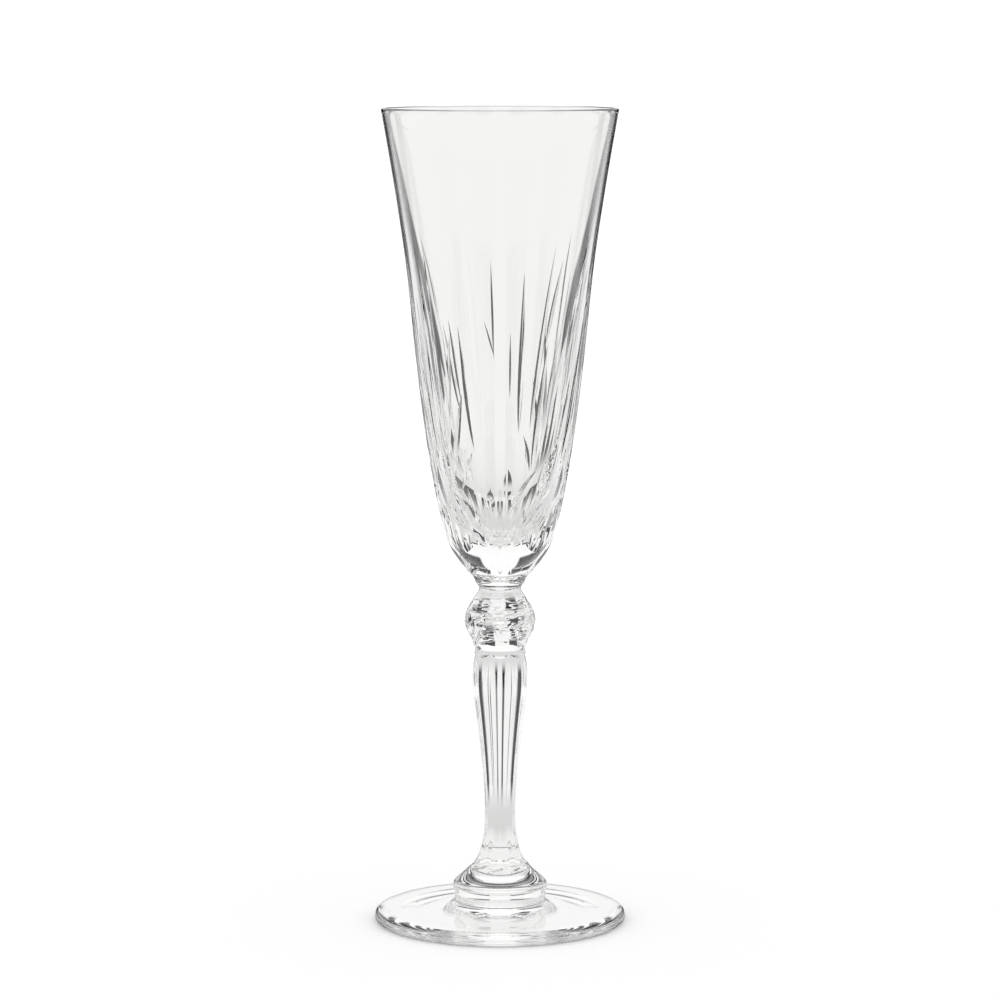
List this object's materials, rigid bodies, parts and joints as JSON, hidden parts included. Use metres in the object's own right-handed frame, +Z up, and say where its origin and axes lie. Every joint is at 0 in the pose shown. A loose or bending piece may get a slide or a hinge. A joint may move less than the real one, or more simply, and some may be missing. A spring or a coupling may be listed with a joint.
{
  "type": "champagne flute",
  "caption": "Tall stemmed glass with a cut trumpet bowl, a ball knop, a faceted baluster stem and a round foot.",
  "frame": {"origin": "centre of the ring that the foot rests on, on the surface it stands on", "axes": "+Z up along the stem's axis; the glass is turned round Z, so X and Y have no meaning of their own"},
  "size_m": [0.0666, 0.0666, 0.215],
  "materials": {
    "bowl_glass": "clear crystal, fire polished, with bright acid polished cuts",
    "merese_glass": "clear crystal, polished",
    "knop_glass": "clear crystal, polished, with bright polished cuts",
    "stem_glass": "clear crystal, flat polished panels",
    "collar_glass": "clear crystal, polished",
    "foot_glass": "clear crystal, fire polished"
  },
  "bodies": {
    "root": {"bowl": "bowl_glass", "merese": "merese_glass", "knop": "knop_glass", "stem": "stem_glass", "collar": "collar_glass", "foot": "foot_glass"}
  },
  "joints": []
}
